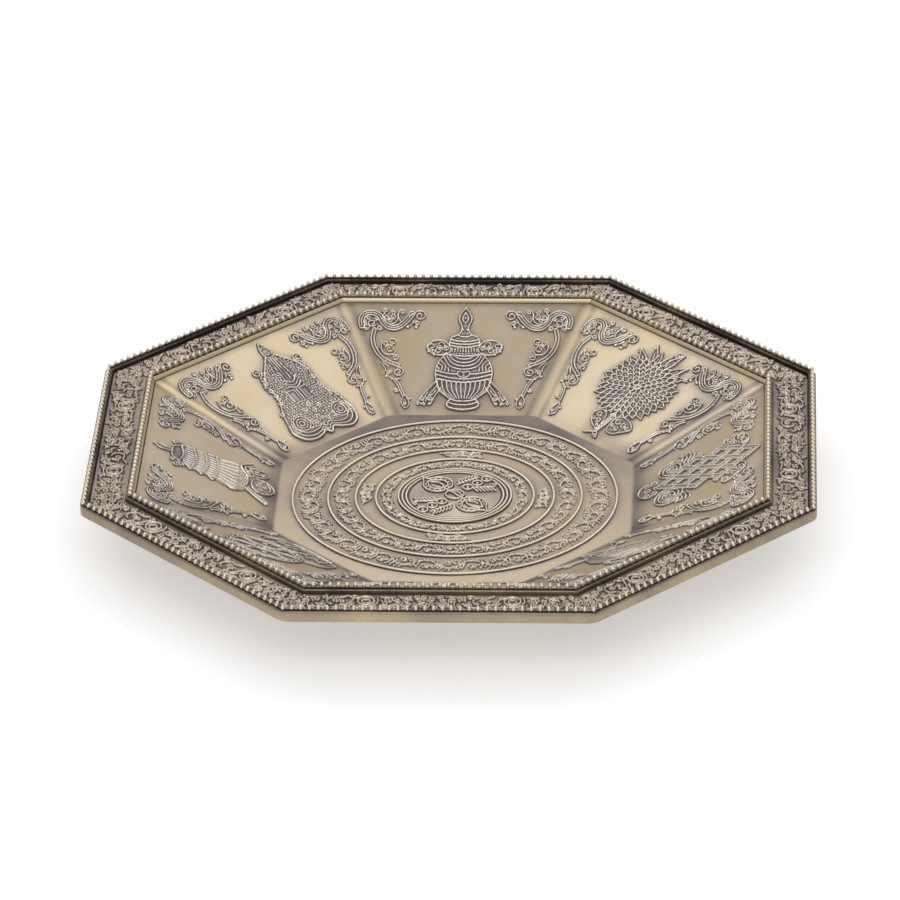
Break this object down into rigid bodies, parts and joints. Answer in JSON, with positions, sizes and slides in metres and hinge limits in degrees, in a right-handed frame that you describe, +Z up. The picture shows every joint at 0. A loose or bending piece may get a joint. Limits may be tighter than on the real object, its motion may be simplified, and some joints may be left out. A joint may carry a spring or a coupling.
{
  "type": "octagonal offering tray",
  "caption": "Shallow octagonal brass offering tray: sloping walls with raised emblems and corner scrolls, a ringed floor with a medallion, and a beaded, scroll-banded rim.",
  "frame": {"origin": "centre of the flat underside, on the surface that the tray stands on", "axes": "+Z up along the tray's axis; +Y towards the middle of the side with the vase; +X towards the middle of the side with the knot"},
  "size_m": [0.25, 0.25, 0.0266],
  "materials": {
    "antique_field": "antiqued, brushed open fields with dark patina beside the relief",
    "bright_rim": "yellow brass, rubbed bright on the walls, antiqued on the skirt",
    "polished_beads": "polished crowns with dark patina between the beads",
    "dark_band": "dark patina ground with rubbed scrollwork",
    "wall_relief": "rubbed ridges over dark patina",
    "floor_relief": "antiqued, rubbed on top",
    "dark_floor_relief": "antiqued, with fine rubbed rings"
  },
  "bodies": {
    "root": {"corner_scroll_left_1": "wall_relief", "corner_scroll_left_2": "wall_relief", "corner_scroll_left_3": "wall_relief", "corner_scroll_left_4": "wall_relief", "corner_scroll_left_5": "wall_relief", "corner_scroll_left_6": "wall_relief", "corner_scroll_left_7": "wall_relief", "corner_scroll_left_8": "wall_relief", "corner_scroll_right_1": "wall_relief", "corner_scroll_right_2": "wall_relief", "corner_scroll_right_3": "wall_relief", "corner_scroll_right_4": "wall_relief", "corner_scroll_right_5": "wall_relief", "corner_scroll_right_6": "wall_relief", "corner_scroll_right_7": "wall_relief", "corner_scroll_right_8": "wall_relief", "double_vajra": "floor_relief", "emblem_banner": "wall_relief", "emblem_conch": "wall_relief", "emblem_fish": "wall_relief", "emblem_knot": "wall_relief", "emblem_lotus": "wall_relief", "emblem_parasol": "wall_relief", "emblem_vase": "wall_relief", "emblem_wheel": "wall_relief", "floor_ring_1": "floor_relief", "floor_ring_2": "floor_relief", "floor_ring_3": "floor_relief", "floor_ring_4": "floor_relief", "floor_spray_1": "floor_relief", "floor_spray_2": "floor_relief", "floor_spray_3": "floor_relief", "floor_spray_4": "floor_relief", "floor_vine_1": "floor_relief", "floor_vine_2": "floor_relief", "floor_vine_3": "floor_relief", "inner_bead_border": "polished_beads", "medallion": "dark_floor_relief", "outer_bead_border": "polished_beads", "pan": "antique_field", "rim_frame": "bright_rim", "scroll_band_1": "dark_band", "scroll_band_2": "dark_band", "scroll_band_3": "dark_band", "scroll_band_4": "dark_band", "scroll_band_5": "dark_band", "scroll_band_6": "dark_band", "scroll_band_7": "dark_band", "scroll_band_8": "dark_band"}
  },
  "joints": []
}
